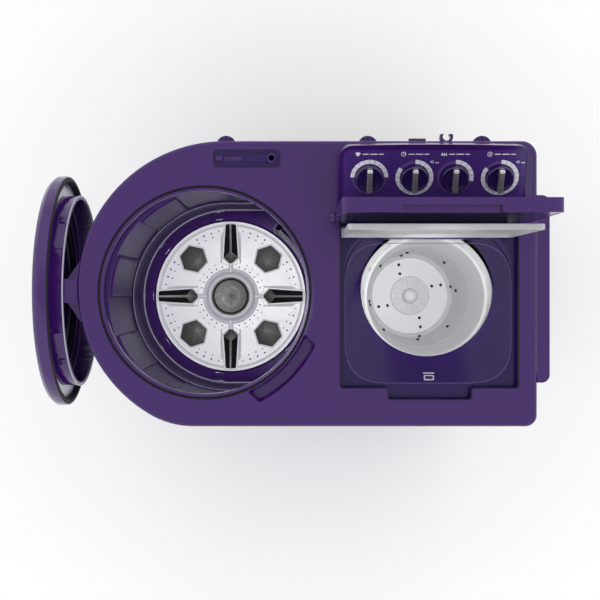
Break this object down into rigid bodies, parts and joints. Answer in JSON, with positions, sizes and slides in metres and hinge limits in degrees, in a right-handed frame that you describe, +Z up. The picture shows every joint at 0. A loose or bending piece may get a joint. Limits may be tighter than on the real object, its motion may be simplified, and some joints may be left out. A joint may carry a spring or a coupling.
{
  "type": "top load washing machine",
  "caption": "Twin-tub top-load washing machine with a round wash tub under a lift-off lid, a hinged double lid over the spin basket and a raised knob panel.",
  "frame": {"origin": "on the floor under the middle of the machine's bounding box, lids open", "axes": "+Z up, -Y to the front where the user stands, +X to the user's right (spin side)"},
  "size_m": [0.905, 0.51, 1.184],
  "materials": {
    "purple_shell": "high-gloss moulded ABS",
    "dark_purple": "glossy moulded plastic",
    "tub_plastic": "glossy polypropylene",
    "white_plastic": "white polypropylene",
    "pulsator_grey": "light grey satin plastic",
    "pulsator_dark": "dark grey plastic",
    "smoked_window": "smoked transparent plastic",
    "clear_grey": "clear grey plastic",
    "scale_white": "printed white",
    "knob_purple": "glossy moulded plastic",
    "black_rubber": "matt",
    "grey_plastic": "moulded",
    "filter_grey": "moulded lattice",
    "steel": "zinc plated",
    "motor_case": "cast",
    "pulley_metal": "turned",
    "base_plastic": "moulded"
  },
  "bodies": {
    "cabinet": {"base_frame": "base_plastic", "feet": "black_rubber", "cabinet_shell": "purple_shell", "back_cover": "base_plastic", "back_cover_screws": "steel", "top_frame": "purple_shell", "wash_tub": "tub_plastic", "wash_lid_hook": "purple_shell", "inlet_bezel": "dark_purple", "water_inlet": "dark_purple", "back_spacers": "purple_shell", "back_tab": "purple_shell", "hose_clip": "purple_shell", "side_grip": "purple_shell", "spin_well": "dark_purple", "spin_outer_tub": "white_plastic", "spin_bellows": "black_rubber", "spin_motor": "motor_case", "spin_motor_springs": "steel", "spring_seats": "black_rubber", "brake_pivot": "steel", "gearbox_bracket": "steel", "gearbox_housing": "motor_case", "wash_motor": "motor_case", "drive_belt": "black_rubber", "pulsator_seal": "black_rubber", "spin_lid_hinge_pins": "steel", "inner_lid_hinge_pins": "steel", "panel_housing": "purple_shell", "panel_fascia": "dark_purple", "dial_scales": "scale_white", "drain_valve_body": "grey_plastic", "motor_capacitors": "grey_plastic", "cord_gland": "black_rubber", "timer_cases": "grey_plastic", "selector_cases": "grey_plastic"},
    "wash_lid": {"wash_lid_rim": "purple_shell", "wash_lid_window": "smoked_window", "wash_lid_ring": "dark_purple", "wash_lid_backing": "white_plastic", "wash_lid_gasket": "black_rubber"},
    "spin_lid": {"spin_lid_shell": "purple_shell", "spin_lid_liner": "dark_purple"},
    "safety_lid": {"spin_inner_lid": "clear_grey"},
    "pulsator": {"pulsator_disc": "pulsator_grey", "pulsator_blades": "pulsator_dark", "pulsator_cap": "pulsator_dark", "pulsator_shaft": "steel"},
    "gearbox_input": {"gearbox_pulley": "pulley_metal"},
    "motor_output": {"motor_pulley": "pulley_metal"},
    "basket": {"spin_basket": "white_plastic", "spin_shaft": "steel"},
    "brake": {"brake_lever": "steel"},
    "fabric_selector": {"fabric_knob": "knob_purple"},
    "wash_timer": {"wash_timer_knob": "knob_purple"},
    "drain_selector": {"drain_knob": "knob_purple"},
    "dry_timer": {"dry_timer_knob": "knob_purple"},
    "drain_plug": {"drain_valve_plug": "black_rubber"},
    "water_selector": {"inlet_slider": "dark_purple"},
    "filter": {"lint_filter": "filter_grey"}
  },
  "joints": [
    {"name": "wash_lid_lift", "type": "slide", "parent": "cabinet", "child": "wash_lid", "axis": [-0.6, 0, 0.8], "range_m": [0, 0.35]},
    {"name": "spin_lid_hinge", "type": "hinge", "parent": "cabinet", "child": "spin_lid", "pos_m": [0.242, 0.108, 0.882], "axis": [1, 0, 0], "range_deg": [0, 90]},
    {"name": "safety_lid_hinge", "type": "hinge", "parent": "cabinet", "child": "safety_lid", "pos_m": [0.242, 0.088, 0.863], "axis": [1, 0, 0], "range_deg": [0, 90]},
    {"name": "pulsator_spin", "type": "hinge", "parent": "cabinet", "child": "pulsator", "pos_m": [-0.1255, -0.031, 0.49], "axis": [0, 0, 1], "continuous": true},
    {"name": "gearbox_input_spin", "type": "hinge", "parent": "cabinet", "child": "gearbox_input", "pos_m": [-0.1255, -0.031, 0.304], "axis": [0, 0, 1], "continuous": true},
    {"name": "motor_spin", "type": "hinge", "parent": "cabinet", "child": "motor_output", "pos_m": [-0.235, -0.12, 0.304], "axis": [0, 0, 1], "continuous": true},
    {"name": "basket_spin", "type": "hinge", "parent": "cabinet", "child": "basket", "pos_m": [0.2425, -0.03, 0.514], "axis": [0, 0, 1], "continuous": true},
    {"name": "brake_lever_pivot", "type": "hinge", "parent": "cabinet", "child": "brake", "pos_m": [0.1845, -0.0925, 0.371], "axis": [0, 0, 1], "range_deg": [-12, 0]},
    {"name": "fabric_knob_turn", "type": "hinge", "parent": "cabinet", "child": "fabric_selector", "pos_m": [0.134, 0.1715, 0.93444], "axis": [0, -0.4848, 0.8746], "range_deg": [-90, 90]},
    {"name": "wash_timer_turn", "type": "hinge", "parent": "cabinet", "child": "wash_timer", "pos_m": [0.21, 0.1715, 0.93444], "axis": [0, -0.4848, 0.8746], "range_deg": [-306, 0]},
    {"name": "drain_knob_turn", "type": "hinge", "parent": "cabinet", "child": "drain_selector", "pos_m": [0.2776, 0.1715, 0.93444], "axis": [0, -0.4848, 0.8746], "range_deg": [-100, 0]},
    {"name": "dry_timer_turn", "type": "hinge", "parent": "cabinet", "child": "dry_timer", "pos_m": [0.3537, 0.1715, 0.93444], "axis": [0, -0.4848, 0.8746], "range_deg": [-306, 0]},
    {"name": "drain_plug_lift", "type": "slide", "parent": "cabinet", "child": "drain_plug", "axis": [0, 0, 1], "range_m": [0, 0.01]},
    {"name": "water_selector_slide", "type": "slide", "parent": "cabinet", "child": "water_selector", "axis": [1, 0, 0], "range_m": [0, 0.035]},
    {"name": "filter_lift", "type": "slide", "parent": "cabinet", "child": "filter", "axis": [0, 0, 1], "range_m": [0, 0.06]}
  ],
  "couplings": [
    {"joint": "safety_lid_hinge", "follows": "spin_lid_hinge", "ratio": 1},
    {"joint": "brake_lever_pivot", "follows": "spin_lid_hinge", "ratio": -0.13333},
    {"joint": "gearbox_input_spin", "follows": "pulsator_spin", "ratio": 4},
    {"joint": "motor_spin", "follows": "pulsator_spin", "ratio": 8},
    {"joint": "drain_plug_lift", "follows": "drain_knob_turn", "m_per_rad": -0.0057296}
  ]
}
